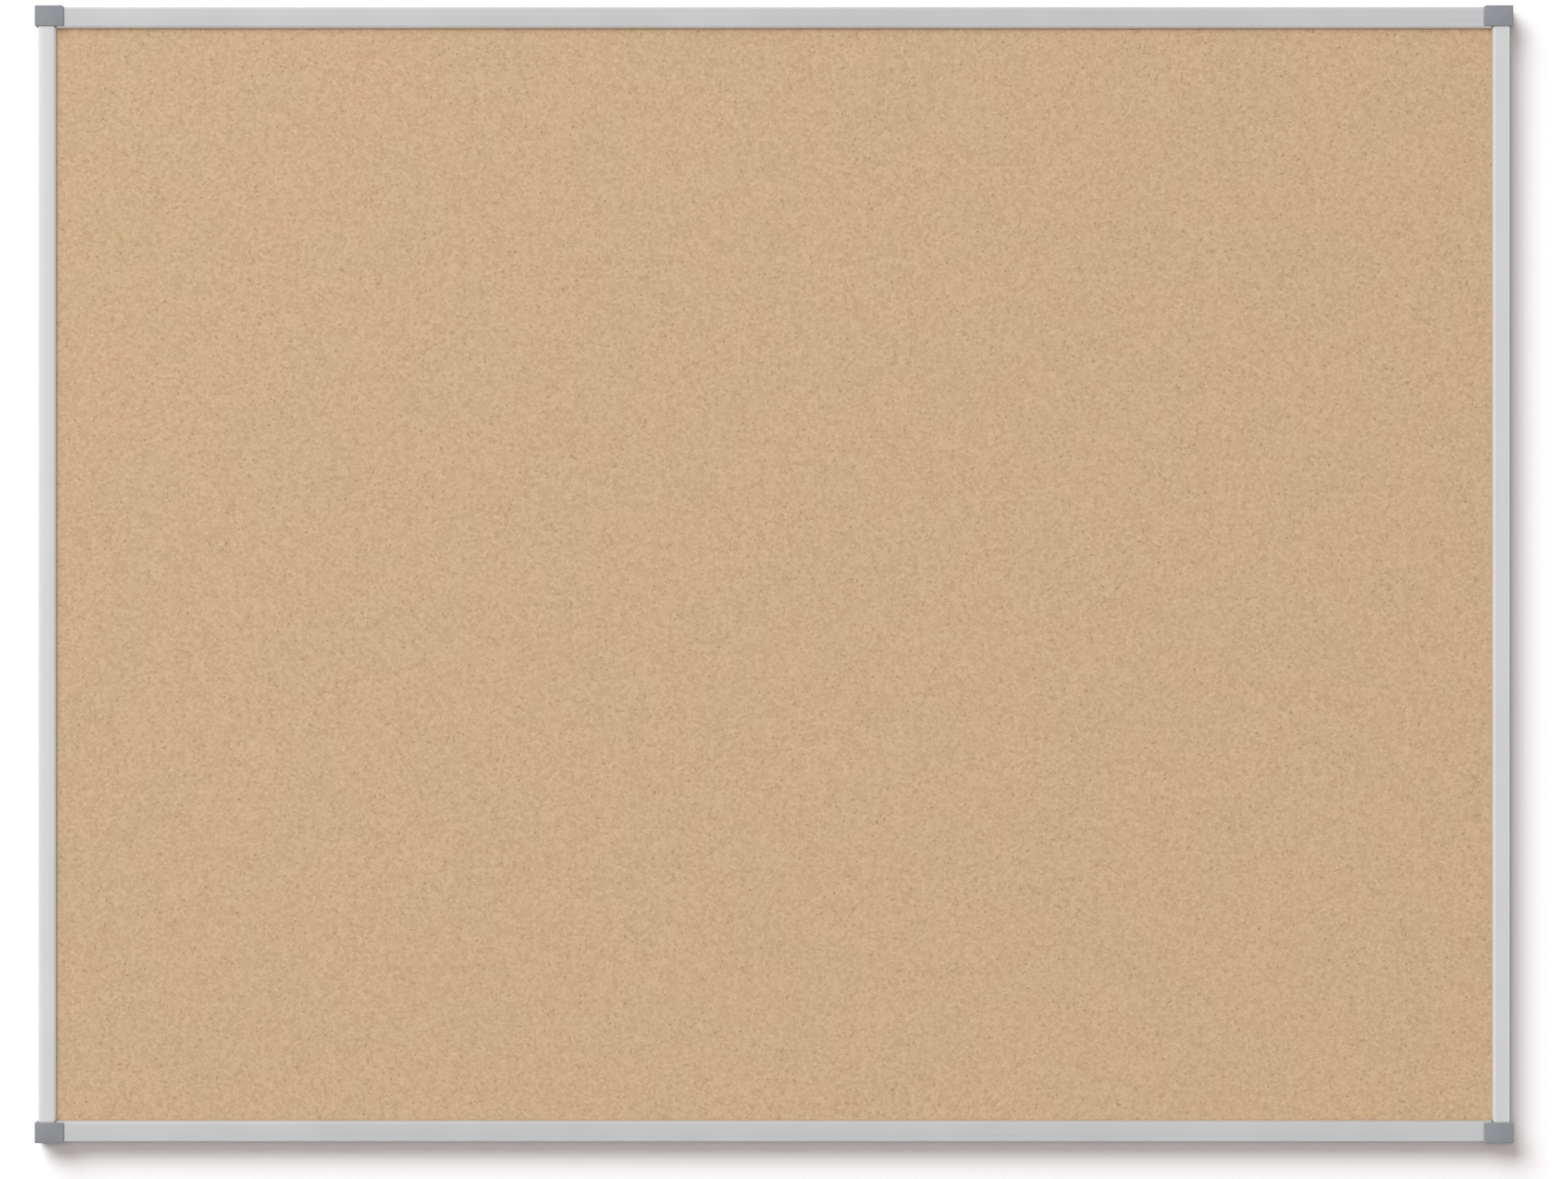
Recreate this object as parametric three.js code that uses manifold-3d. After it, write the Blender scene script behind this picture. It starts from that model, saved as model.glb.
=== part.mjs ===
// Cork bulletin board: a cork-faced fibreboard panel held in an aluminium frame. Plastic corner keys join
// the rails and carry the wall fixings, and a pull-off cap covers each key.
// Millimetres, +Z up. The board faces -Y, the wall is the plane y = 0, and the origin is the middle of the
// back.
//
// A rail and a corner are each drawn once, in a corner's own terms: x runs inwards from the side of the
// frame, z runs inwards from its top or bottom, and depth runs from the face of the rails towards the wall.
import * as THREE from "three";
import { mergeVertices } from "three/addons/utils/BufferGeometryUtils.js";
import Module from "manifold-3d";

// ---- Overall sizes ----
const FRAME_WIDTH = 1200; // over the outsides of the side rails
const FRAME_HEIGHT = 925; // over the outsides of the top and bottom rails
const SIDE_RAIL_FACE = 14.5; // what the front shows of a side rail, across it
const CROSS_RAIL_FACE = 17.3; // the same for the top and bottom rails

// ---- Panel ----
const CORK_THICKNESS = 3;
const CORE_THICKNESS = 8;
const LINER_THICKNESS = 1.5;
const GLUE_LINE = 0.2;
const PANEL_FACE_GAP = 0.3; // in front of the panel and behind it, in the rails' slot
const PANEL_EDGE_GAP = 0.6; // round the panel's edge

// ---- Rail section ----
const OUTER_WALL = 1.3;
const FRONT_WALL = 1.4;
const REAR_WALL = 1.6;
const WEB = 1.2; // between the chamber and the panel's slot
const CHAMBER_WIDTH = 6.2; // for the corner key's leg
const LIP_DEPTH = 2.9; // from the rail's face down to the tip of its lip
const LIP_SLOPE = 2.2; // the sloped edge of the lip, as the front shows it
const LIP_TIP = 1.3; // the lip's thickness at its tip
const LIP_EDGE = 0.6; // the upright edge at the end of the slope
const REAR_FLANGE = 12; // how far the rear wall reaches in from the rail's outside
const OUTER_EDGE_RADIUS = 1.5;
const SMALL_RADIUS = 0.5;

// ---- Corner key ----
const BUTT_GAP = 0.3; // between a rail's cut end and what it stops at
const SIDE_RAIL_ENTRY = 3.6; // how far a side rail runs in under the cap
const LEG_LENGTH = 40;
const LEG_CLEARANCE = 0.3;
const LEG_LEAD_IN = 1.5;
const LEG_ROOT = 1; // how far a leg starts inside the key's block
const POCKET_COUNT = 2;
const POCKET_RIB = 2.5; // between the pockets
const POCKET_DEPTH = 6;
const POCKET_WALL = 1.2; // beside a pocket
const BLOCK_RADIUS = 0.8;

// ---- Wall fixing, through the key ----
const FIXING_HOLE_RADIUS = 2.25;
const FIXING_HEAD_RADIUS = 4.1;
const FIXING_SEAT = 7; // what is left of the key's depth behind the screw head's recess

// ---- Cap ----
const CAP_WALL = 1.1;
const CAP_END_WALL = 2.4;
const CAP_GAP = 0.3;
const CAP_OVERLAP = 6.5; // how far the cap reaches past the side rail, along the top or bottom rail
const CAP_REVEAL = 1.7; // what the cap leaves showing of the cross rail, at its lip
const CAP_WALL_STANDOFF = 0.4; // between the cap's rear edge and the wall
const CAP_NOSE_RADIUS = 2.2; // the outer corner of the cap's end on the cross rail
const CAP_CORNER_RADIUS = 0.8;
const CAP_EDGE_RADIUS = 0.6;
const PEG_RADIUS = 0.9;
const PEG_CLEARANCE = 0.2;
const PEG_LENGTH = 6; // from the key's face to the peg's end
const PEG_END_GAP = 1; // past the peg, at the bottom of its socket
const PEG_TIP = 0.4; // the chamfer on its end
const PEG_SOCKET_WALL = 0.9; // between a socket and the block's sides

// ---- Screws that hold the rails to the key's legs ----
const SCREW_FROM_LEG_END = 6;
const SCREW_BOSS = 5; // solid leg between the screw's line and the nearest pocket
const SCREW_LENGTH = 9.5;
const SCREW_SHANK_RADIUS = 1.3;
const SCREW_HEAD_RADIUS = 2.7;
const SCREW_POINT = 2;
const SCREW_CLEARANCE = 0.3;
const RECESS_LENGTH = 3;
const RECESS_WIDTH = 0.8;
const RECESS_DEPTH = 0.9;

// ---- What follows from them ----
const PANEL_THICKNESS = CORK_THICKNESS + CORE_THICKNESS + LINER_THICKNESS + 2 * GLUE_LINE;
const PANEL_FRONT = LIP_DEPTH + PANEL_FACE_GAP;
const SLOT_BACK = PANEL_FRONT + PANEL_THICKNESS + PANEL_FACE_GAP;
const FRAME_DEPTH = SLOT_BACK + REAR_WALL;
const CHAMBER_INNER = OUTER_WALL + CHAMBER_WIDTH;
const WEB_INNER = CHAMBER_INNER + WEB;
const PANEL_INSET = WEB_INNER + PANEL_EDGE_GAP;

const CAP_OUTER_X = -CAP_GAP - CAP_END_WALL;
const CAP_OUTER_Z = -CAP_GAP - CAP_WALL;
const CAP_INNER_X = SIDE_RAIL_FACE + CAP_OVERLAP;
const CAP_INNER_Z = CROSS_RAIL_FACE - CAP_REVEAL;
const CAP_FRONT = -CAP_GAP - CAP_WALL;

const SIDE_RAIL_START = CAP_INNER_Z - SIDE_RAIL_ENTRY;
const CROSS_RAIL_START = SIDE_RAIL_FACE + BUTT_GAP;
const BLOCK_X = SIDE_RAIL_FACE;
const BLOCK_Z = SIDE_RAIL_START - BUTT_GAP;
const PEG_INSET = PEG_SOCKET_WALL + PEG_RADIUS + PEG_CLEARANCE;

const SCREW_LINE = OUTER_WALL + CHAMBER_WIDTH / 2;
const SCREW_FROM_BLOCK = LEG_LENGTH - SCREW_FROM_LEG_END;
const SCREW_FROM_RAIL_END = SCREW_FROM_BLOCK - BUTT_GAP;
const POCKET_LENGTH = (SCREW_FROM_BLOCK - SCREW_BOSS) / POCKET_COUNT - POCKET_RIB;

const ARC_STEPS = 3; // three.js takes twice as many on a round arc
const HOLE_SIDES = 24;
const PEG_SIDES = 12;
const THROUGH = 1; // how far a cut runs past the surface that it opens

// ---- Materials ----
const aluminium = { color: 0xd2d3d5, roughness: 0.38, metalness: 0.9 };
const capPlastic = { color: 0x8e9296, roughness: 0.5, metalness: 0 };
const keyPlastic = { color: 0x55585b, roughness: 0.6, metalness: 0 };
const zincSteel = { color: 0xb9bcc0, roughness: 0.3, metalness: 1 };
const cork = { color: 0xccae8b, roughness: 0.95, metalness: 0 };
const fibreboard = { color: 0x9a7b58, roughness: 0.95, metalness: 0 };
const kraftLiner = { color: 0xa98a63, roughness: 0.9, metalness: 0 };

const wasm = await Module();
wasm.setup();

// ---- Solids ----

/** A closed geometry as a manifold-3d solid, for cuts and joins. */
function solidOf(geometry) {
  const bare = geometry.clone();
  bare.deleteAttribute("normal");
  bare.deleteAttribute("uv");
  const merged = mergeVertices(bare, 1e-4);
  const index = merged.index.array;
  const triangles = [];
  for (let i = 0; i < index.length; i += 3) {
    const [a, b, c] = index.slice(i, i + 3);
    if (a !== b && b !== c && c !== a) triangles.push(a, b, c); // a lathe's poles leave flat ones
  }
  return new wasm.Manifold(
    new wasm.Mesh({
      numProp: 3,
      vertProperties: merged.attributes.position.array,
      triVerts: new Uint32Array(triangles),
    }),
  );
}

/** A manifold-3d solid as a geometry that a mesh can show. */
function geometryOf(solid) {
  const mesh = solid.getMesh();
  const geometry = new THREE.BufferGeometry();
  geometry.setAttribute("position", new THREE.BufferAttribute(new Float32Array(mesh.vertProperties), 3));
  geometry.setIndex(new THREE.BufferAttribute(new Uint32Array(mesh.triVerts), 1));
  geometry.computeVertexNormals();
  return geometry;
}

/** The y of a depth below the rails' face. */
function yAt(depth) {
  return depth - FRAME_DEPTH;
}

/** An outline through corners [x, y, radius], with a round arc at each corner that has a radius. */
function outline(corners) {
  const shape = new THREE.Shape();
  corners.forEach(([x, y, radius = 0], i) => {
    const corner = new THREE.Vector2(x, y);
    const [xBefore, yBefore] = corners[(i + corners.length - 1) % corners.length];
    const [xAfter, yAfter] = corners[(i + 1) % corners.length];
    const back = new THREE.Vector2(xBefore, yBefore).sub(corner).normalize();
    const on = new THREE.Vector2(xAfter, yAfter).sub(corner).normalize();
    if (radius === 0) {
      if (i === 0) shape.moveTo(x, y);
      else shape.lineTo(x, y);
      return;
    }
    const half = Math.acos(THREE.MathUtils.clamp(back.dot(on), -1, 1)) / 2;
    const reach = radius / Math.tan(half);
    const start = corner.clone().addScaledVector(back, reach);
    const end = corner.clone().addScaledVector(on, reach);
    const middle = back.clone().add(on).normalize();
    const centre = corner.clone().addScaledVector(middle, radius / Math.sin(half));
    const clockwise = back.cross(on) > 0;
    if (i === 0) shape.moveTo(start.x, start.y);
    else shape.lineTo(start.x, start.y);
    const angleOf = (point) => Math.atan2(point.y - centre.y, point.x - centre.x);
    shape.absarc(centre.x, centre.y, radius, angleOf(start), angleOf(end), clockwise);
  });
  shape.closePath();
  return shape;
}

/** The corners of a rectangle, all with one radius. */
function rectangle(x0, y0, x1, y1, radius = 0) {
  return [
    [x0, y0, radius],
    [x1, y0, radius],
    [x1, y1, radius],
    [x0, y1, radius],
  ];
}

/** A solid with an outline drawn in x and z, from one depth to a deeper one. */
function slab(corners, front, back, bevel = 0) {
  const geometry = new THREE.ExtrudeGeometry(outline(corners), {
    depth: back - front - 2 * bevel,
    curveSegments: ARC_STEPS,
    bevelEnabled: bevel > 0,
    bevelThickness: bevel,
    bevelSize: bevel,
    bevelOffset: -bevel,
    bevelSegments: 3,
  });
  geometry.rotateX(Math.PI / 2); // what was drawn as y becomes z, and the extrusion runs to the front
  geometry.translate(0, yAt(back - bevel), 0);
  return geometry;
}

/** A round solid along the depth, through steps of [radius, depth] that run from its front to its back. */
function roundSolid(x, z, steps, sides = HOLE_SIDES) {
  const profile = [[0, steps[0][1]], ...steps, [0, steps.at(-1)[1]]];
  const points = profile.map(([radius, depth]) => new THREE.Vector2(radius, yAt(depth)));
  const geometry = new THREE.LatheGeometry(points, sides);
  geometry.translate(x, 0, z);
  return solidOf(geometry);
}

/** A named mesh with a material of its own. */
function part(name, geometry, material) {
  const mesh = new THREE.Mesh(geometry, new THREE.MeshStandardMaterial(material));
  mesh.name = name;
  return mesh;
}

// ---- Panel: cork on fibreboard, with a liner on the back ----

/** The panel's outline: a rectangle with a notch at each corner, for the corner keys. */
function panelCorners() {
  const side = FRAME_WIDTH / 2 - PANEL_INSET;
  const top = FRAME_HEIGHT / 2 - PANEL_INSET;
  const notchSide = FRAME_WIDTH / 2 - BLOCK_X - PANEL_EDGE_GAP;
  const notchTop = FRAME_HEIGHT / 2 - BLOCK_Z - PANEL_EDGE_GAP;
  const quarter = [
    [side, notchTop],
    [notchSide, notchTop],
    [notchSide, top],
  ];
  const flipped = (sx, sz, points) => points.map(([x, z]) => [sx * x, sz * z]);
  return [
    ...flipped(1, 1, quarter),
    ...flipped(-1, 1, quarter.toReversed()),
    ...flipped(-1, -1, quarter),
    ...flipped(1, -1, quarter.toReversed()),
  ];
}

/** The three layers of the panel, from the front, a glue line apart. */
function panel() {
  const layers = [
    ["cork_sheet", CORK_THICKNESS, cork],
    ["fibreboard_core", CORE_THICKNESS, fibreboard],
    ["back_liner", LINER_THICKNESS, kraftLiner],
  ];
  const group = new THREE.Group();
  let front = PANEL_FRONT;
  for (const [name, thickness, material] of layers) {
    group.add(part(name, slab(panelCorners(), front, front + thickness), material));
    front += thickness + GLUE_LINE;
  }
  return group;
}

// ---- Rails: one extruded section, with a longer front lip on the top and bottom rails ----

/** The rail's section, x inwards from the outside of the frame and y towards the wall. */
function railSection(face) {
  const front = yAt(0);
  const lipTip = yAt(LIP_DEPTH);
  const lipUnder = yAt(FRONT_WALL);
  const rearInner = yAt(SLOT_BACK);
  const section = outline([
    [0, 0, SMALL_RADIUS],
    [0, front, OUTER_EDGE_RADIUS],
    [face - LIP_SLOPE, front, SMALL_RADIUS],
    [face, lipTip - LIP_EDGE, SMALL_RADIUS],
    [face, lipTip],
    [face - LIP_TIP, lipTip],
    [face - LIP_SLOPE - LIP_EDGE, lipUnder],
    [WEB_INNER, lipUnder],
    [WEB_INNER, rearInner],
    [REAR_FLANGE, rearInner],
    [REAR_FLANGE, 0, SMALL_RADIUS],
  ]);
  section.holes.push(outline(rectangle(OUTER_WALL, lipUnder, CHAMBER_INNER, rearInner)));
  return section;
}

/** A rail that stands along z, centred, with a countersunk screw hole near each end of its rear wall. */
function rail(name, face, length) {
  const geometry = new THREE.ExtrudeGeometry(railSection(face), {
    depth: length,
    curveSegments: ARC_STEPS,
    bevelEnabled: false,
  });
  geometry.translate(0, 0, -length / 2);
  let solid = solidOf(geometry);
  const holeRadius = SCREW_SHANK_RADIUS + SCREW_CLEARANCE;
  const sink = SCREW_HEAD_RADIUS - SCREW_SHANK_RADIUS;
  for (const end of [-1, 1]) {
    const z = end * (length / 2 - SCREW_FROM_RAIL_END);
    const hole = roundSolid(SCREW_LINE, z, [
      [holeRadius, SLOT_BACK - THROUGH],
      [holeRadius, FRAME_DEPTH - sink],
      [holeRadius + sink + THROUGH, FRAME_DEPTH + THROUGH],
    ]);
    solid = solid.subtract(hole);
  }
  return part(name, geometryOf(solid), aluminium);
}

/** The four rails, each in a group that turns its x inwards from its own side of the frame. */
function frame() {
  const sideLength = FRAME_HEIGHT - 2 * SIDE_RAIL_START;
  const crossLength = FRAME_WIDTH - 2 * CROSS_RAIL_START;
  const group = new THREE.Group();
  for (const [side, sign] of [["left", 1], ["right", -1]]) {
    const place = new THREE.Group();
    place.position.x = (-sign * FRAME_WIDTH) / 2;
    place.scale.x = sign;
    place.add(rail(`rail_${side}`, SIDE_RAIL_FACE, sideLength));
    group.add(place);
  }
  for (const [side, sign] of [["top", 1], ["bottom", -1]]) {
    const cross = rail(`rail_${side}`, CROSS_RAIL_FACE, crossLength);
    cross.rotation.y = Math.PI / 2;
    const place = new THREE.Group();
    place.position.z = (sign * FRAME_HEIGHT) / 2;
    place.scale.z = sign;
    place.add(cross);
    group.add(place);
  }
  return group;
}

// ---- Corner key ----

/** One leg of the key, along +z from the block, in the rail's chamber. */
function keyLeg(start) {
  const inner = CHAMBER_INNER - LEG_CLEARANCE;
  const outer = OUTER_WALL + LEG_CLEARANCE;
  const front = FRONT_WALL + LEG_CLEARANCE;
  const back = SLOT_BACK - LEG_CLEARANCE;
  const end = start + LEG_LENGTH;
  const plan = [
    [outer, start - LEG_ROOT],
    [inner, start - LEG_ROOT],
    [inner, end - LEG_LEAD_IN],
    [inner - LEG_LEAD_IN, end],
    [outer + LEG_LEAD_IN, end],
    [outer, end - LEG_LEAD_IN],
  ];
  let leg = solidOf(slab(plan, front, back));
  for (let i = 0; i < POCKET_COUNT; i += 1) {
    const near = start + POCKET_RIB + i * (POCKET_LENGTH + POCKET_RIB);
    const pocket = rectangle(outer + POCKET_WALL, near, inner - POCKET_WALL, near + POCKET_LENGTH);
    leg = leg.subtract(solidOf(slab(pocket, front - THROUGH, front + POCKET_DEPTH)));
  }
  const holeRadius = SCREW_SHANK_RADIUS + SCREW_CLEARANCE;
  const screwHole = roundSolid(SCREW_LINE, start + SCREW_FROM_BLOCK, [
    [holeRadius, FRAME_DEPTH - SCREW_LENGTH - THROUGH],
    [holeRadius, FRAME_DEPTH],
  ]);
  return leg.subtract(screwHole);
}

/** The same leg turned to run along +x, by swapping x and z. */
function turned(solid) {
  const swap = new THREE.Matrix4().makeBasis(
    new THREE.Vector3(0, 0, 1),
    new THREE.Vector3(0, 1, 0),
    new THREE.Vector3(1, 0, 0),
  );
  return solid.transform(swap.toArray());
}

/** Where the cap's pegs go in: two opposite corners of the key's block. */
function pegPlaces() {
  return [
    [PEG_INSET, PEG_INSET],
    [BLOCK_X - PEG_INSET, BLOCK_Z - PEG_INSET],
  ];
}

/** The corner key: a block with the wall fixing's hole, and a leg into each rail. */
function cornerKey(name) {
  const block = slab(rectangle(0, 0, BLOCK_X, BLOCK_Z, BLOCK_RADIUS), 0, FRAME_DEPTH);
  const seat = FRAME_DEPTH - FIXING_SEAT;
  const fixingHole = roundSolid(BLOCK_X / 2, BLOCK_Z / 2, [
    [FIXING_HEAD_RADIUS, -THROUGH],
    [FIXING_HEAD_RADIUS, seat],
    [FIXING_HOLE_RADIUS, seat + FIXING_HEAD_RADIUS - FIXING_HOLE_RADIUS],
    [FIXING_HOLE_RADIUS, FRAME_DEPTH + THROUGH],
  ]);
  let key = solidOf(block).add(keyLeg(BLOCK_Z)).add(turned(keyLeg(BLOCK_X))).subtract(fixingHole);
  const socketRadius = PEG_RADIUS + PEG_CLEARANCE;
  for (const [x, z] of pegPlaces()) {
    const steps = [
      [socketRadius, -THROUGH],
      [socketRadius, PEG_LENGTH + PEG_END_GAP],
    ];
    key = key.subtract(roundSolid(x, z, steps, PEG_SIDES));
  }
  return part(name, geometryOf(key), keyPlastic);
}

// ---- Corner cap ----

/** The cap: a front and two outer walls round the corner, and two pegs that hold it in the key. */
function cornerCap(name) {
  const corners = [
    [CAP_OUTER_X, CAP_OUTER_Z, CAP_CORNER_RADIUS],
    [CAP_INNER_X, CAP_OUTER_Z, CAP_NOSE_RADIUS],
    [CAP_INNER_X, CAP_INNER_Z, CAP_CORNER_RADIUS],
    [CAP_OUTER_X, CAP_INNER_Z, CAP_CORNER_RADIUS],
  ];
  const back = FRAME_DEPTH - CAP_WALL_STANDOFF;
  const pastBack = back + CAP_EDGE_RADIUS + THROUGH;
  const hollow = rectangle(-CAP_GAP, -CAP_GAP, CAP_INNER_X + THROUGH, CAP_INNER_Z + THROUGH);
  const behind = rectangle(
    CAP_OUTER_X - THROUGH,
    CAP_OUTER_Z - THROUGH,
    CAP_INNER_X + THROUGH,
    CAP_INNER_Z + THROUGH,
  );
  let cap = solidOf(slab(corners, CAP_FRONT, back + CAP_EDGE_RADIUS, CAP_EDGE_RADIUS));
  cap = cap.subtract(solidOf(slab(hollow, -CAP_GAP, pastBack)));
  cap = cap.subtract(solidOf(slab(behind, back, pastBack))); // leaves the rear rim square
  for (const [x, z] of pegPlaces()) {
    const steps = [
      [PEG_RADIUS, (CAP_FRONT - CAP_GAP) / 2],
      [PEG_RADIUS, PEG_LENGTH - PEG_TIP],
      [PEG_RADIUS - PEG_TIP, PEG_LENGTH],
    ];
    cap = cap.add(roundSolid(x, z, steps, PEG_SIDES));
  }
  return part(name, geometryOf(cap), capPlastic);
}

// ---- Screws ----

/** A countersunk self-tapping screw, its head in the rail's rear wall and its point towards the front. */
function railScrew(name) {
  let screw = roundSolid(0, 0, [
    [0, FRAME_DEPTH - SCREW_LENGTH],
    [SCREW_SHANK_RADIUS, FRAME_DEPTH - SCREW_LENGTH + SCREW_POINT],
    [SCREW_SHANK_RADIUS, FRAME_DEPTH + SCREW_SHANK_RADIUS - SCREW_HEAD_RADIUS],
    [SCREW_HEAD_RADIUS, FRAME_DEPTH],
  ]);
  for (const [x, z] of [[RECESS_LENGTH, RECESS_WIDTH], [RECESS_WIDTH, RECESS_LENGTH]]) {
    const slot = new THREE.BoxGeometry(x, RECESS_DEPTH + THROUGH, z);
    slot.translate(0, (THROUGH - RECESS_DEPTH) / 2, 0);
    screw = screw.subtract(solidOf(slot));
  }
  return part(name, geometryOf(screw), zincSteel);
}

/** A corner with its key, cap and two screws, mirrored into place from the corner that it is drawn in. */
function corner(end, side) {
  const place = `${end}_${side}`;
  const signX = side === "left" ? 1 : -1;
  const signZ = end === "top" ? -1 : 1;
  const group = new THREE.Group();
  group.position.set((-signX * FRAME_WIDTH) / 2, 0, (-signZ * FRAME_HEIGHT) / 2);
  group.scale.set(signX, 1, signZ);
  const sideScrew = railScrew(`screw_${place}_side_rail`);
  sideScrew.position.set(SCREW_LINE, 0, SIDE_RAIL_START + SCREW_FROM_RAIL_END);
  const crossScrew = railScrew(`screw_${place}_${end}_rail`);
  crossScrew.position.set(CROSS_RAIL_START + SCREW_FROM_RAIL_END, 0, SCREW_LINE);
  group.add(cornerKey(`corner_key_${place}`), cornerCap(`corner_cap_${place}`), sideScrew, crossScrew);
  return group;
}

const board = new THREE.Group();
board.add(panel(), frame());
for (const end of ["top", "bottom"]) {
  for (const side of ["left", "right"]) board.add(corner(end, side));
}

export default board;
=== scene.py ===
"""Cork bulletin board: its finished pieces, their finishes and the studio that they are shown in.

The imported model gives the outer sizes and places. Each class below holds the sizes that belong to its own
piece, in metres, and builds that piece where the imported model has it. A corner is drawn once, in a corner's
own terms, and turned into its four places: x runs inwards from the side of the frame, z runs inwards from
its top or bottom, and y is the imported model's own, with the wall at 0 and the board in front of it.
"""

import logging
import math
from collections.abc import Callable, Iterable
from dataclasses import dataclass
from enum import Enum

import bmesh
import bpy
from mathutils import Matrix, Vector, noise


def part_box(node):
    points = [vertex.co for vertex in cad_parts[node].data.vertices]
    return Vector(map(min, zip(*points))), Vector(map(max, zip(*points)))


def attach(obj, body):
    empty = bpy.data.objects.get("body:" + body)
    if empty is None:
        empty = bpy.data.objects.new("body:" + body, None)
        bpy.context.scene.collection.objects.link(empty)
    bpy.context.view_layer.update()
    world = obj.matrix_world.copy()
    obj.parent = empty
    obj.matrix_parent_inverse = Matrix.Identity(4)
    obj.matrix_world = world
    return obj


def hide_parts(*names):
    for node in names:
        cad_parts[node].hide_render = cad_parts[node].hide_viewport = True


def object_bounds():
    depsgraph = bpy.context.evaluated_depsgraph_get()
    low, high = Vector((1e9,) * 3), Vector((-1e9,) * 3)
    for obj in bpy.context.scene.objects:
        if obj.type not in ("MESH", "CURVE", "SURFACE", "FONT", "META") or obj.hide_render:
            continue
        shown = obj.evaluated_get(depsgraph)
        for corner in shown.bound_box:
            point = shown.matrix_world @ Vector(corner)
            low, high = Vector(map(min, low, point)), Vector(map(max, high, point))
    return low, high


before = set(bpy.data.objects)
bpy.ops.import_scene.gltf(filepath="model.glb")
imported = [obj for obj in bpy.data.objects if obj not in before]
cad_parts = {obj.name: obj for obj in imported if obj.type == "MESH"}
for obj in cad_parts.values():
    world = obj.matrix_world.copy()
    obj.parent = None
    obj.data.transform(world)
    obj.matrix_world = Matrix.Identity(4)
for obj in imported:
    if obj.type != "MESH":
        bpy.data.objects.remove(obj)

CAD_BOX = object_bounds()
MM = 0.001
THROUGH = 1 * MM  # how far a cut runs past the surface that it opens
SWAP_X_AND_Z = Matrix(((0, 0, 1, 0), (0, 1, 0, 0), (1, 0, 0, 0), (0, 0, 0, 1)))
FINEST = 0.001 * MM  # the least length that counts
SHARP_ANGLE = math.radians(38)  # the least turn between two faces that looks sharp
EDGE_LAYER = "edge"  # the face layer that tells a finish where it is rubbed
LOG = logging.getLogger("cork_board")

Colour = tuple[float, float, float]
Shape = bmesh.types.BMesh
Socket = bpy.types.NodeSocket

EVEN: Colour = (1, 1, 1)  # grain that is drawn out along no direction


# ---- Places ----


class Corner(Enum):
    """A corner of the board, with the side and the end of the frame that meet there."""

    TOP_LEFT = ("left", "top")
    TOP_RIGHT = ("right", "top")
    BOTTOM_LEFT = ("left", "bottom")
    BOTTOM_RIGHT = ("right", "bottom")

    @property
    def side(self) -> str:
        """The side rail's word: left or right."""
        return self.value[0]

    @property
    def end(self) -> str:
        """The cross rail's word: top or bottom."""
        return self.value[1]

    @property
    def label(self) -> str:
        """The corner's name in the names of nodes and pieces."""
        return f"{self.end}_{self.side}"

    @property
    def placement(self) -> Matrix:
        """What takes a piece drawn in a corner's own terms to this corner."""
        half_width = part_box("rail_right")[1].x
        half_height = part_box("rail_top")[1].z
        inwards_x = 1 if self.side == "left" else -1
        inwards_z = -1 if self.end == "top" else 1
        place = Matrix.Diagonal((inwards_x, 1, inwards_z, 1))
        place.translation = (-inwards_x * half_width, 0, -inwards_z * half_height)
        return place


class Run(Enum):
    """The way that a rail runs on the board: how its marks are drawn out, and how much painted shade darkens
    its colour.
    """

    # the second number is painted shade on the rail's colour, lower where the rail faces the light less
    UPRIGHT = ((1.0, 1.0, 0.004), 0.88)
    LEVEL = ((0.004, 1.0, 1.0), 0.76)

    @property
    def draw(self) -> Colour:
        """The share of each direction in the extrusion marks."""
        return self.value[0]

    @property
    def painted_light_factor(self) -> float:
        """Painted shade on the rail's colour: a factor that is lower on the level rails, which face the light
        less.
        """
        return self.value[1]


# ---- Shapes ----


def block(low: Iterable[float], high: Iterable[float]) -> Shape:
    """A box between two corners.

    Args:
        low: the lowest corner.
        high: the highest corner.

    Returns:
        The box as a new shape.
    """
    lowest = Vector(low)
    highest = Vector(high)
    size = highest - lowest
    place = Matrix.Translation((lowest + highest) / 2) @ Matrix.Diagonal((*size, 1))
    shape = bmesh.new()
    bmesh.ops.create_cube(shape, size=1, matrix=place)
    return shape


def turned(x: float, z: float, profile: list[tuple[float, float]], steps: int = 48) -> Shape:
    """A round shape about a line along y.

    Args:
        x: where the line passes.
        z: where the line passes.
        profile: the radius and the y of each step, from one end to the other.
        steps: how many sides the shape has.

    Returns:
        The closed shape.
    """
    shape = bmesh.new()
    path = [(0, profile[0][1]), *profile, (0, profile[-1][1])]
    verts = [shape.verts.new((x + radius, y, z)) for radius, y in path]
    edges = [shape.edges.new(pair) for pair in zip(verts, verts[1:])]
    bmesh.ops.spin(
        shape,
        geom=[*verts, *edges],
        cent=(x, 0, z),
        axis=(0, 1, 0),
        angle=math.tau,
        steps=steps,
        use_merge=True,
    )
    make_sound(shape)
    return shape


def make_sound(shape: Shape) -> None:
    """Merges a shape's doubled points and turns its faces outwards."""
    bmesh.ops.remove_doubles(shape, verts=shape.verts[:], dist=FINEST / 2)
    bmesh.ops.recalc_face_normals(shape, faces=shape.faces[:])


def near(a: float, b: float) -> bool:
    """Whether two lengths are the same to a thousandth of a millimetre."""
    return abs(a - b) < FINEST


def along_depth(a: Vector, b: Vector) -> bool:
    """Whether an edge between two points runs along y."""
    return near(a.x, b.x) and near(a.z, b.z)


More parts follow.
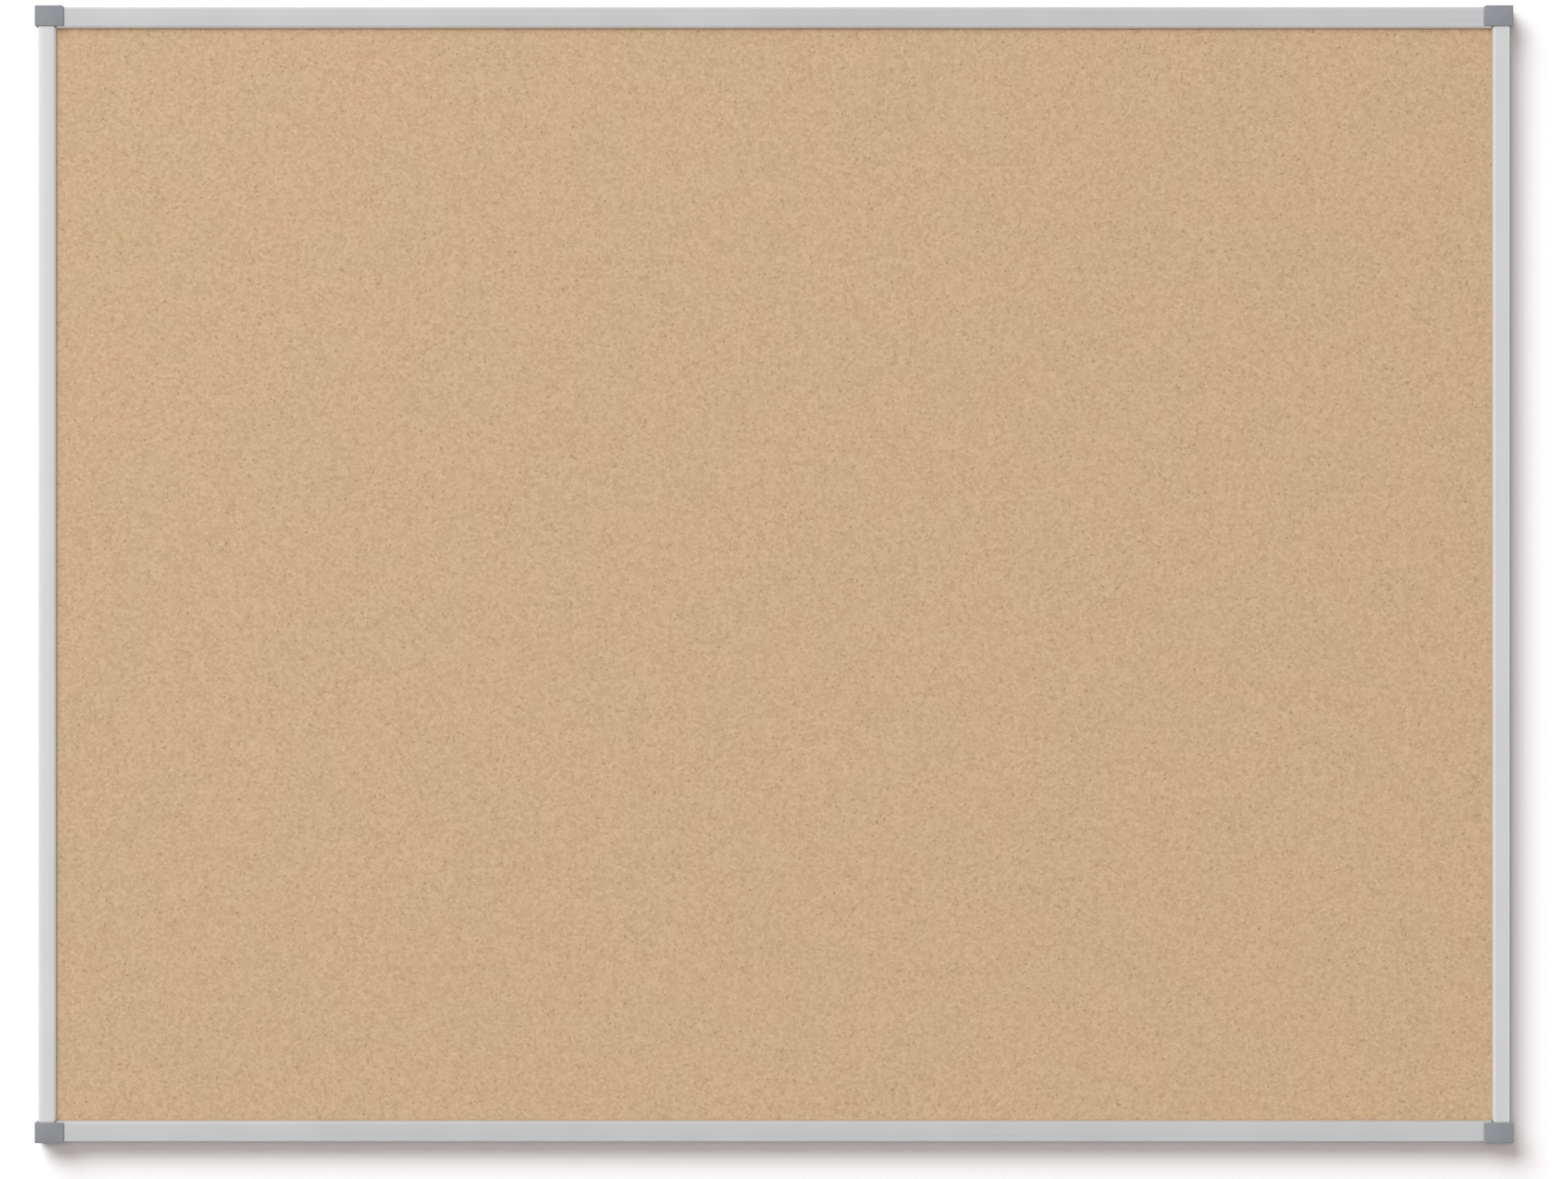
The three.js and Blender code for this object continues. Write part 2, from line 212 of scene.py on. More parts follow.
def round_edges(
    shape: Shape, radius: float, segments: int, test: Callable[[Vector, Vector], bool]
) -> None:
    """Rounds the edges of a shape whose two ends pass a test.

    Args:
        shape: what is rounded.
        radius: the size of the rounding.
        segments: how many steps it takes.
        test: tells from an edge's two ends whether it is rounded.
    """
    edges = [edge for edge in shape.edges if test(edge.verts[0].co, edge.verts[1].co)]
    bmesh.ops.bevel(
        shape,
        geom=edges,
        offset=radius,
        offset_type="OFFSET",
        segments=segments,
        profile=0.5,
        affect="EDGES",
        clamp_overlap=True,
        material=-1,
    )


class Workpiece:
    """A piece in the making, which is cut, joined and rounded, and then dressed and handed over."""

    def __init__(self, name: str, shape: Shape) -> None:
        """Starts a piece.

        Args:
            name: the piece's name.
            shape: its first shape, which is used up.
        """
        self.name = name
        self.item = self._stock(name, shape)
        self.tools: list[bpy.types.Object] = []

    @staticmethod
    def _stock(name: str, shape: Shape) -> bpy.types.Object:
        """A new object that holds a shape."""
        mesh = bpy.data.meshes.new(name)
        shape.to_mesh(mesh)
        shape.free()
        item = bpy.data.objects.new(name, mesh)
        bpy.context.scene.collection.objects.link(item)
        return item

    def _machine(self, shape: Shape, operation: str) -> None:
        """Adds a join or a cut by a shape."""
        tool = self._stock(f"{self.name}_tool", shape)
        step = self.item.modifiers.new(operation.lower(), "BOOLEAN")
        step.operation = operation
        step.solver = "EXACT"
        step.object = tool
        self.tools.append(tool)

    def join(self, shape: Shape) -> None:
        """Adds a shape to the piece."""
        self._machine(shape, "UNION")

    def cut(self, shape: Shape) -> None:
        """Takes a shape away from the piece."""
        self._machine(shape, "DIFFERENCE")

    def soften(self, width: float, segments: int = 2, angle: float = 50) -> None:
        """Rounds every edge that is sharper than an angle.

        Args:
            width: how far the rounding reaches.
            segments: how many steps it takes.
            angle: the least angle that is rounded, in degrees.
        """
        step = self.item.modifiers.new("soften", "BEVEL")
        step.width = width
        step.segments = segments
        step.limit_method = "ANGLE"
        step.angle_limit = math.radians(angle)
        step.use_clamp_overlap = True

    def settle(self) -> bpy.types.Mesh:
        """Makes what has been done to the piece part of its mesh, and returns the mesh."""
        graph = bpy.context.evaluated_depsgraph_get()
        settled = bpy.data.meshes.new_from_object(self.item.evaluated_get(graph))
        rough = self.item.data
        self.item.modifiers.clear()
        self.item.data = settled
        bpy.data.meshes.remove(rough)
        for tool in self.tools:
            spare = tool.data
            bpy.data.objects.remove(tool)
            bpy.data.meshes.remove(spare)
        self.tools.clear()
        settled.name = self.name
        return settled

    def copy(self, name: str, placement: Matrix) -> "Workpiece":
        """Another piece of the same shape in another place, its faces still turned outwards.

        Args:
            name: the new piece's name.
            placement: from this piece's place to the new one's.

        Returns:
            The new piece.
        """
        shape = bmesh.new()
        shape.from_mesh(self.item.data)
        bmesh.ops.transform(shape, matrix=placement, verts=shape.verts[:])
        bmesh.ops.recalc_face_normals(shape, faces=shape.faces[:])
        return Workpiece(name, shape)

    def scrap(self) -> None:
        """Removes a pattern piece once its copies are made."""
        mesh = self.item.data
        bpy.data.objects.remove(self.item)
        bpy.data.meshes.remove(mesh)

    def hand_over(self, node: str, body: str, slot: str, material: bpy.types.Material) -> None:
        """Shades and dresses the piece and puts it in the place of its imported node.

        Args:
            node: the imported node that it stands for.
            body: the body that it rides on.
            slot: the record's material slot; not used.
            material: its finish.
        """
        mesh = self.settle()
        mark_edges(mesh)
        mesh.shade_smooth()
        mesh.set_sharp_from_angle(angle=SHARP_ANGLE)
        mesh.materials.clear()
        mesh.materials.append(material)
        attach(self.item, body)
        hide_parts(node)
        LOG.info("%s: %d faces, in place of %s", self.name, len(mesh.polygons), node)


def mark_edges(mesh: bpy.types.Mesh) -> None:
    """Stores on each face how much of an outward edge it is: 0 on a flat, up to 1 on a narrow rounding."""
    widest = 1.3 * MM
    full_turn = math.radians(45)
    shape = bmesh.new()
    shape.from_mesh(mesh)
    layer = shape.faces.layers.float.new(EDGE_LAYER)
    for face in shape.faces:
        width = 2 * face.calc_area() / max(face.calc_perimeter(), MM)
        turn = sum(max(0.0, edge.calc_face_angle_signed(0.0)) for edge in face.edges if edge.is_manifold)
        if width < widest:
            face[layer] = min(1.0, turn / full_turn)
    shape.to_mesh(mesh)
    shape.free()


# ---- Node graphs ----


class Graph:
    """A node tree, with short calls that add nodes and join them."""

    def __init__(self, tree: bpy.types.NodeTree) -> None:
        """Wraps a node tree."""
        self.tree = tree

    def add(self, kind: str, inputs: dict | None = None, **settings: object) -> bpy.types.Node:
        """Adds a node.

        Args:
            kind: the node's type.
            inputs: what each input takes, by name or number: a value, or a socket to link from.
            settings: the node's own properties.

        Returns:
            The new node.
        """
        node = self.tree.nodes.new(kind)
        for key, value in settings.items():
            setattr(node, key, value)
        self.fill(node, inputs or {})
        return node

    def fill(self, node: bpy.types.Node, inputs: dict) -> None:
        """Gives a node's inputs their values and links."""
        for key, value in inputs.items():
            if isinstance(value, Socket):
                self.tree.links.new(value, node.inputs[key])
            else:
                node.inputs[key].default_value = value

    def sum(self, operation: str, *values: object) -> Socket:
        """The result of a sum on values and sockets."""
        return self.add("ShaderNodeMath", dict(enumerate(values)), operation=operation).outputs[0]

    def spread(self, value: Socket, low: float, high: float, to_low: float, to_high: float) -> Socket:
        """A value taken from one range to another, and held within it."""
        inputs = dict(enumerate((value, low, high, to_low, to_high)))
        return self.add("ShaderNodeMapRange", inputs).outputs[0]

    def blend(self, factor: object, first: object, second: object, mode: str = "MIX") -> Socket:
        """Two colours blended by a factor."""
        inputs = {0: factor, 6: first, 7: second}
        return self.add("ShaderNodeMix", inputs, data_type="RGBA", blend_type=mode).outputs[2]

    def ramp(self, value: Socket, stops: list[tuple[float, Colour]]) -> Socket:
        """A value turned into a colour through stops of a position and a colour."""
        node = self.add("ShaderNodeValToRGB", {0: value})
        elements = node.color_ramp.elements
        while len(elements) < len(stops):
            elements.new(1.0)
        for element, (position, colour) in zip(elements, stops):
            element.position = position
            element.color = rgba(colour)
        return node.outputs[0]

    def noise(self, where: Socket, size: float, detail: float = 2.0, rough: float = 0.5) -> Socket:
        """Soft noise whose features are about a size across."""
        inputs = {"Vector": where, "Scale": 1 / size, "Detail": detail, "Roughness": rough}
        return self.add("ShaderNodeTexNoise", inputs).outputs[0]

    def bump(self, height: Socket, distance: float) -> Socket:
        """A normal from a height."""
        inputs = {"Strength": 1.0, "Distance": distance, "Height": height}
        return self.add("ShaderNodeBump", inputs).outputs[0]

    def place(self, group: bpy.types.NodeTree, inputs: dict) -> bpy.types.NodeOutputs:
        """Places a shared group, fills its inputs and returns its outputs."""
        node = self.add("ShaderNodeGroup", node_tree=group)
        self.fill(node, inputs)
        return node.outputs


def rgba(colour: Colour) -> tuple[float, float, float, float]:
    """A colour with full alpha."""
    return (*colour, 1.0)


class Effects:
    """The node groups that more than one finish uses, each built once."""

    def __init__(self) -> None:
        """Builds the groups."""
        self.grain = self._grain()
        self.granules = self._granules()
        self.rubbing = self._rubbing()
        self.dust = self._dust()

    @staticmethod
    def _group(name: str, inputs: dict[str, str], outputs: list[str]) -> tuple[Graph, dict, dict]:
        """A new group.

        Args:
            name: the group's name.
            inputs: each input's name and socket type.
            outputs: the names of its outputs, which are all values.

        Returns:
            Its graph, its inputs by name, and the sockets that its outputs are linked to by name.
        """
        tree = bpy.data.node_groups.new(name, "ShaderNodeTree")
        for label, kind in inputs.items():
            tree.interface.new_socket(label, in_out="INPUT", socket_type=kind)
        for label in outputs:
            tree.interface.new_socket(label, in_out="OUTPUT", socket_type="NodeSocketFloat")
        graph = Graph(tree)
        given = graph.add("NodeGroupInput").outputs
        wanted = graph.add("NodeGroupOutput").inputs
        return graph, {label: given[label] for label in inputs}, {label: wanted[label] for label in outputs}

    def _grain(self) -> bpy.types.NodeTree:
        """Fine grain, which can be drawn out along one direction."""
        sockets = {"Vector": "NodeSocketVector", "Draw": "NodeSocketVector", "Size": "NodeSocketFloat"}
        graph, given, wanted = self._group("fine_grain", sockets, ["Value"])
        inputs = {0: given["Vector"], 1: given["Draw"]}
        drawn = graph.add("ShaderNodeVectorMath", inputs, operation="MULTIPLY").outputs[0]
        scale = graph.sum("DIVIDE", 1.0, given["Size"])
        inputs = {"Vector": drawn, "Scale": scale, "Detail": 3.0, "Roughness": 0.6}
        value = graph.add("ShaderNodeTexNoise", inputs).outputs[0]
        graph.tree.links.new(value, wanted["Value"])
        return graph.tree

    def _granules(self) -> bpy.types.NodeTree:
        """Pressed granules: a tone for each, the seams between them, and each one's dome."""
        sockets = {"Vector": "NodeSocketVector", "Size": "NodeSocketFloat", "Warp": "NodeSocketFloat"}
        graph, given, wanted = self._group("pressed_granules", sockets, ["Tone", "Seam", "Dome"])
        scale = graph.sum("DIVIDE", 1.0, given["Size"])
        inputs = {"Vector": given["Vector"], "Scale": scale, "Detail": 2.0}
        swirl = graph.add("ShaderNodeTexNoise", inputs).outputs["Color"]
        inputs = {0: swirl, 1: (0.5, 0.5, 0.5)}
        centred = graph.add("ShaderNodeVectorMath", inputs, operation="SUBTRACT").outputs[0]
        reach = graph.sum("MULTIPLY", given["Size"], given["Warp"])
        inputs = {0: centred, "Scale": reach}
        shift = graph.add("ShaderNodeVectorMath", inputs, operation="SCALE").outputs[0]
        inputs = {0: given["Vector"], 1: shift}
        warped = graph.add("ShaderNodeVectorMath", inputs, operation="ADD").outputs[0]
        inputs = {"Vector": warped, "Scale": scale}
        cells = graph.add("ShaderNodeTexVoronoi", inputs, feature="F1").outputs
        walls = graph.add("ShaderNodeTexVoronoi", inputs, feature="DISTANCE_TO_EDGE").outputs[0]
        tone = graph.add("ShaderNodeSeparateColor", {0: cells["Color"]}).outputs[0]
        graph.tree.links.new(tone, wanted["Tone"])
        graph.tree.links.new(graph.spread(walls, 0.0, 0.14, 1.0, 0.0), wanted["Seam"])
        graph.tree.links.new(graph.spread(cells["Distance"], 0.0, 0.8, 1.0, 0.0), wanted["Dome"])
        return graph.tree

    def _rubbing(self) -> bpy.types.NodeTree:
        """Where outward edges are rubbed, broken up by grain."""
        sockets = {"Edge": "NodeSocketFloat", "Grain": "NodeSocketFloat", "Amount": "NodeSocketFloat"}
        graph, given, wanted = self._group("rubbed_edges", sockets, ["Mask"])
        broken = graph.spread(given["Grain"], 0.35, 0.65, 0.2, 1.0)
        worn = graph.sum("MULTIPLY", broken, given["Edge"])
        graph.tree.links.new(graph.sum("MULTIPLY", worn, given["Amount"]), wanted["Mask"])
        return graph.tree

    def _dust(self) -> bpy.types.NodeTree:
        """A thin veil of dust on what faces up."""
        sockets = {"Grain": "NodeSocketFloat", "Amount": "NodeSocketFloat"}
        graph, given, wanted = self._group("settled_dust", sockets, ["Mask"])
        normal = graph.add("ShaderNodeNewGeometry").outputs["Normal"]
        height = graph.add("ShaderNodeSeparateXYZ", {0: normal}).outputs["Z"]
        facing = graph.spread(height, 0.6, 1.0, 0.0, 1.0)
        patchy = graph.spread(given["Grain"], 0.3, 0.7, 0.4, 1.0)
        settled = graph.sum("MULTIPLY", facing, patchy)
        graph.tree.links.new(graph.sum("MULTIPLY", settled, given["Amount"]), wanted["Mask"])
        return graph.tree


# ---- Finishes ----


@dataclass(frozen=True)
class Finish:
    """What every finish has: the effects that it shares with the others, and a Principled shader."""

    effects: Effects
    relief: float = 0.1 * MM

    @staticmethod
    def _begin(name: str) -> tuple[Graph, bpy.types.Material, Socket]:
        """A new material.

        Args:
            name: the material's name.

        Returns:
            Its graph, the material, and the piece's own coordinates in metres.
        """
        material = bpy.data.materials.new(name)
        material.use_nodes = True
        graph = Graph(material.node_tree)
        return graph, material, graph.add("ShaderNodeTexCoord").outputs["Object"]

    def _shade(
        self, graph: Graph, colour: Socket, roughness: Socket, height: Socket, even: dict | None = None
    ) -> None:
        """Fills the material's Principled shader.

        Args:
            graph: the material's graph.
            colour: its base colour.
            roughness: its roughness.
            height: its fine relief, from 0 to 1.
            even: what is the same all over it, by the shader's own names.
        """
        normal = graph.bump(height, self.relief)
        inputs = {"Base Color": colour, "Roughness": roughness, "Normal": normal}
        graph.fill(graph.tree.nodes["Principled BSDF"], inputs | (even or {}))

    def _grained(self, graph: Graph, where: Socket, size: float, draw: Colour = EVEN) -> Socket:
        """Fine grain of a size, which may be drawn out along a direction."""
        return graph.place(self.effects.grain, {"Vector": where, "Draw": draw, "Size": size})["Value"]

    def _granular(self, graph: Graph, where: Socket, size: float, warp: float) -> bpy.types.NodeOutputs:
        """Pressed granules of a size, bent out of shape by a share of it."""
        return graph.place(self.effects.granules, {"Vector": where, "Size": size, "Warp": warp})

    def _rubbed(self, graph: Graph, grain: Socket, amount: float) -> Socket:
        """Where the piece's marked edges are rubbed."""
        edge = graph.add("ShaderNodeAttribute", attribute_name=EDGE_LAYER).outputs["Fac"]
        return graph.place(self.effects.rubbing, {"Edge": edge, "Grain": grain, "Amount": amount})["Mask"]


@dataclass(frozen=True)
class PressedCork(Finish):
    """Natural agglomerated cork, ground to fine granules, pressed and sanded."""

    body: Colour = (0.475, 0.34, 0.209)
    pale: Colour = (0.545, 0.398, 0.257)
    deep: Colour = (0.405, 0.28, 0.165)
    pink: Colour = (1.03, 0.985, 0.985)
    yellow: Colour = (0.985, 1.01, 0.97)
    bark: Colour = (0.2, 0.12, 0.065)
    granule: float = 2.6 * MM
    fine_granule: float = 1.1 * MM
    bark_granule: float = 1.5 * MM
    grain: float = 0.5 * MM
    fine_share: float = 0.45
    seam_share: float = 0.16
    bark_share: float = 0.42
    patch: float = 70 * MM
    relief: float = 0.12 * MM

    def material(self) -> bpy.types.Material:
        """Builds the finish."""
        graph, material, where = self._begin("pressed_cork")
        coarse = self._granular(graph, where, self.granule, 0.9)
        fine = self._granular(graph, where, self.fine_granule, 1.2)
        bark = self._granular(graph, where, self.bark_granule, 1.6)
        grain = self._grained(graph, where, self.grain)
        colour = graph.ramp(coarse["Tone"], [(0.0, self.deep), (0.45, self.body), (1.0, self.pale)])
        small = graph.ramp(fine["Tone"], [(0.0, self.deep), (0.5, self.body), (1.0, self.pale)])
        colour = graph.blend(self.fine_share, colour, small)
        seams = graph.sum("MULTIPLY", coarse["Seam"], self.seam_share)
        colour = graph.blend(seams, colour, rgba(self.deep))
        flecked = graph.spread(bark["Tone"], 0.96, 0.99, 0.0, self.bark_share)
        colour = graph.blend(flecked, colour, rgba(self.bark))
        drift = graph.noise(where, self.patch, detail=3)
        tint = graph.ramp(drift, [(0.35, self.pink), (0.65, self.yellow)])
        colour = graph.blend(1.0, colour, tint, "MULTIPLY")
        shade = graph.ramp(grain, [(0.2, (0.93,) * 3), (0.8, (1.06,) * 3)])
        colour = graph.blend(1.0, colour, shade, "MULTIPLY")
        height = graph.sum("MULTIPLY_ADD", coarse["Dome"], 0.5, graph.sum("MULTIPLY", fine["Dome"], 0.25))
        height = graph.sum("MULTIPLY_ADD", grain, 0.3, height)
        height = graph.sum("MULTIPLY_ADD", flecked, -0.5, height)
        roughness = graph.spread(fine["Tone"], 0.0, 1.0, 0.82, 0.95)
        self._shade(graph, colour, roughness, height, {"Specular IOR Level": 0.25})
        return material


@dataclass(frozen=True)
class SatinAluminium(Finish):
    """Extruded aluminium, etched and anodised to a satin."""

    run: Run = Run.LEVEL
    metal: Colour = (0.93, 0.93, 0.94)
    dull: Colour = (0.85, 0.852, 0.868)
    bare: Colour = (0.93, 0.925, 0.915)
    dust: Colour = (0.5, 0.48, 0.45)
    line: float = 0.7 * MM
    broad_line: float = 3.2 * MM
    etching: float = 0.25 * MM
    cloud: float = 60 * MM
    relief: float = 0.006 * MM

    def material(self) -> bpy.types.Material:
        """Builds the finish for rails that run one way, with that run's painted shade."""
        graph, material, where = self._begin(f"satin_aluminium_{self.run.name.lower()}")
        draw = self.run.draw
        lines = self._grained(graph, where, self.line, draw)
        bands = self._grained(graph, where, self.broad_line, draw)
        etch = self._grained(graph, where, self.etching)
        cloud = graph.noise(where, self.cloud, detail=2)
        tone = graph.sum("MULTIPLY_ADD", lines, 0.45, graph.sum("MULTIPLY", bands, 0.55))
        colour = graph.ramp(tone, [(0.3, self.dull), (0.7, self.metal)])
        # painted shade: the colour is darkened by the run's factor, the level rails more than the upright
        # ones
        colour = graph.blend(1.0, colour, rgba((self.run.painted_light_factor,) * 3), "MULTIPLY")
        colour = graph.blend(graph.spread(cloud, 0.3, 0.7, 0.0, 0.25), colour, rgba(self.dull))
        rubbed = self._rubbed(graph, etch, 0.5)
        colour = graph.blend(rubbed, colour, rgba(self.bare))
        dust = graph.place(self.effects.dust, {"Grain": etch, "Amount": 0.25})["Mask"]
        colour = graph.blend(dust, colour, rgba(self.dust))
        roughness = graph.spread(tone, 0.3, 0.7, 0.46, 0.38)
        roughness = graph.sum("MULTIPLY_ADD", rubbed, -0.08, roughness)
        roughness = graph.sum("MULTIPLY_ADD", dust, 0.3, roughness)
        height = graph.sum("MULTIPLY_ADD", etch, 0.5, lines)
        self._shade(graph, colour, roughness, height, {"Metallic": 1.0})
        return material


@dataclass(frozen=True)
class MouldedPlastic(Finish):
    """A moulded plastic with a spark-eroded texture."""

    name: str = "cap_plastic"
    body: Colour = (0.184, 0.196, 0.212)
    streak: Colour = (0.208, 0.219, 0.236)
    worn: Colour = (0.34, 0.35, 0.36)
    dust: Colour = (0.42, 0.4, 0.37)
    flow: float = 9 * MM
    texture: float = 0.35 * MM
    relief: float = 0.02 * MM
    gloss: float = 0.42

    def material(self) -> bpy.types.Material:
        """Builds the finish."""
        graph, material, where = self._begin(self.name)
        flow = graph.noise(where, self.flow, detail=2)
        spark = self._grained(graph, where, self.texture)
        pits = self._granular(graph, where, self.texture, 1.0)
        colour = graph.ramp(flow, [(0.3, self.body), (0.75, self.streak)])
        rubbed = self._rubbed(graph, spark, 0.45)
        colour = graph.blend(rubbed, colour, rgba(self.worn))
        dust = graph.place(self.effects.dust, {"Grain": spark, "Amount": 0.3})["Mask"]
        colour = graph.blend(dust, colour, rgba(self.dust))
        roughness = graph.spread(spark, 0.3, 0.7, self.gloss - 0.05, self.gloss + 0.07)
        roughness = graph.sum("MULTIPLY_ADD", rubbed, -0.1, roughness)
        height = graph.sum("MULTIPLY_ADD", pits["Dome"], 0.5, spark)
        self._shade(graph, colour, roughness, height)
        return material


@dataclass(frozen=True)
class Softboard(Finish):
    """Wood-fibre softboard: felted fibres in clumps."""

    body: Colour = (0.33, 0.21, 0.11)
    pale: Colour = (0.44, 0.3, 0.17)
    deep: Colour = (0.2, 0.12, 0.06)
    clump: float = 4 * MM
    fibre: float = 0.4 * MM
    relief: float = 0.25 * MM

    def material(self) -> bpy.types.Material:
        """Builds the finish."""
        graph, material, where = self._begin("softboard")
        clumps = self._granular(graph, where, self.clump, 1.8)
        lying = [
            self._grained(graph, where, self.fibre, draw)
            for draw in ((0.12, 1, 1), (1, 1, 0.12))
        ]
        fibres = graph.sum("MAXIMUM", *lying)
        colour = graph.ramp(fibres, [(0.42, self.deep), (0.56, self.body), (0.72, self.pale)])
        clump_shade = graph.ramp(clumps["Tone"], [(0.0, (0.88,) * 3), (1.0, (1.08,) * 3)])
        colour = graph.blend(1.0, colour, clump_shade, "MULTIPLY")
        height = graph.sum("MULTIPLY_ADD", clumps["Dome"], 0.3, fibres)
        roughness = graph.spread(fibres, 0.4, 0.7, 0.98, 0.88)
        self._shade(graph, colour, roughness, height, {"Specular IOR Level": 0.2})
        return material


@dataclass(frozen=True)
class Hardboard(Finish):
    """Brown hardboard with the weave of the pressing screen on its back."""

    body: Colour = (0.27, 0.165, 0.085)
    pale: Colour = (0.36, 0.235, 0.13)
    deep: Colour = (0.17, 0.098, 0.048)
    screen: float = 1.5 * MM
    fibre: float = 0.6 * MM
    mottle: float = 9 * MM
    cloud: float = 120 * MM
    relief: float = 0.12 * MM

    def material(self) -> bpy.types.Material:
        """Builds the finish."""
        graph, material, where = self._begin("hardboard")
        fibres = self._grained(graph, where, self.fibre, (0.3, 1, 1))
        mottle = self._granular(graph, where, self.mottle, 2.2)
        cloud = graph.noise(where, self.cloud, detail=3)
        turns = math.tau / self.screen
        axes = graph.add("ShaderNodeSeparateXYZ", {0: where}).outputs
        wires = [graph.sum("SINE", graph.sum("MULTIPLY", axes[axis], turns)) for axis in ("X", "Z")]
        weave = graph.sum("MULTIPLY", *wires)
        value = graph.sum("MULTIPLY_ADD", weave, 0.06, fibres)
        colour = graph.ramp(value, [(0.3, self.deep), (0.5, self.body), (0.75, self.pale)])
        shade = graph.ramp(mottle["Tone"], [(0.0, (0.92,) * 3), (1.0, (1.07,) * 3)])
        colour = graph.blend(1.0, colour, shade, "MULTIPLY")
        shade = graph.ramp(cloud, [(0.3, (0.9,) * 3), (0.7, (1.08,) * 3)])
        colour = graph.blend(1.0, colour, shade, "MULTIPLY")
        height = graph.sum("MULTIPLY_ADD", weave, 0.5, fibres)
        roughness = graph.spread(fibres, 0.3, 0.7, 0.86, 0.7)
        self._shade(graph, colour, roughness, height, {"Specular IOR Level": 0.35})
        return material


@dataclass(frozen=True)
class ZincSteel(Finish):
    """Bright zinc-plated steel with a faint blue passivation."""

    blue: Colour = (0.62, 0.65, 0.69)
    straw: Colour = (0.7, 0.68, 0.62)
    bare: Colour = (0.8, 0.79, 0.77)
    cloud: float = 2.5 * MM
    tool_mark: float = 0.2 * MM
    relief: float = 0.006 * MM

    def material(self) -> bpy.types.Material:
        """Builds the finish."""
        graph, material, where = self._begin("zinc_steel")
        cloud = graph.noise(where, self.cloud, detail=2)
        tool = self._grained(graph, where, self.tool_mark, (1, 0.2, 1))
        colour = graph.ramp(cloud, [(0.35, self.blue), (0.68, self.straw)])
        rubbed = self._rubbed(graph, tool, 0.7)
        colour = graph.blend(rubbed, colour, rgba(self.bare))
        roughness = graph.spread(tool, 0.3, 0.7, 0.24, 0.4)
        self._shade(graph, colour, roughness, tool, {"Metallic": 1.0})
        return material


# ---- The board ----


@dataclass
class Panel:
    """The cork sheet, the softboard that it is glued to and the hardboard behind them."""

    effects: Effects
    cork_pitch: float = 9 * MM
    core_pitch: float = 30 * MM
    notch_side: float = 5.8 * MM
    notch_end: float = 3.0 * MM
    swell: float = 0.07 * MM
    swell_size: float = 90 * MM

    def _layer(self, node: str, pitch: float, swell: float) -> Shape:
        """One layer of the panel, with a notch at each corner for the corner key.

        Args:
            node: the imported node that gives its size.
            pitch: the spacing of its points.
            swell: how far its front may rise and fall.

        Returns:
            The closed layer.
        """
        low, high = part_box(node)
        half_width = high.x
        half_height = high.z
        place = Matrix.Translation((0, low.y, 0))
        place = place @ Matrix.Rotation(math.pi / 2, 4, "X")
        place = place @ Matrix.Diagonal((half_width, half_height, 1, 1))
        shape = bmesh.new()
        bmesh.ops.create_grid(
            shape,
            x_segments=round(2 * half_width / pitch),
            y_segments=round(2 * half_height / pitch),
            size=1,
            matrix=place,
        )
        notch_x = half_width - self.notch_side
        notch_z = half_height - self.notch_end
        for sign in (-1, 1):
            for cut_at in (Vector((sign * notch_x, 0, 0)), Vector((0, 0, sign * notch_z))):
                geometry = [*shape.verts, *shape.edges, *shape.faces]
                bmesh.ops.bisect_plane(shape, geom=geometry, plane_co=cut_at, plane_no=cut_at)
        notches = []
        for face in shape.faces:
            middle = face.calc_center_median()
            if abs(middle.x) > notch_x and abs(middle.z) > notch_z:
                notches.append(face)
        bmesh.ops.delete(shape, geom=notches, context="FACES")
        grown = bmesh.ops.extrude_face_region(shape, geom=shape.faces[:])["geom"]
        back = [item for item in grown if isinstance(item, bmesh.types.BMVert)]
        front = set(shape.verts) - set(back)
        bmesh.ops.translate(shape, vec=(0, high.y - low.y, 0), verts=back)
        for vert in front:
            vert.co.y += swell * (1 + noise.noise(vert.co / self.swell_size)) / 2
        make_sound(shape)
        return shape

    def build(self) -> None:
        """Builds and dresses the three layers."""
        cork = Workpiece("cork_face", self._layer("cork_sheet", self.cork_pitch, self.swell))
        cork.hand_over("cork_sheet", "board", "cork", PressedCork(self.effects).material())
        core = Workpiece("softboard_core", self._layer("fibreboard_core", self.core_pitch, 0))
        core.hand_over("fibreboard_core", "board", "fibreboard", Softboard(self.effects).material())
        back = Workpiece("hardboard_back", self._layer("back_liner", self.core_pitch, 0))
        back.hand_over("back_liner", "board", "liner", Hardboard(self.effects).material())


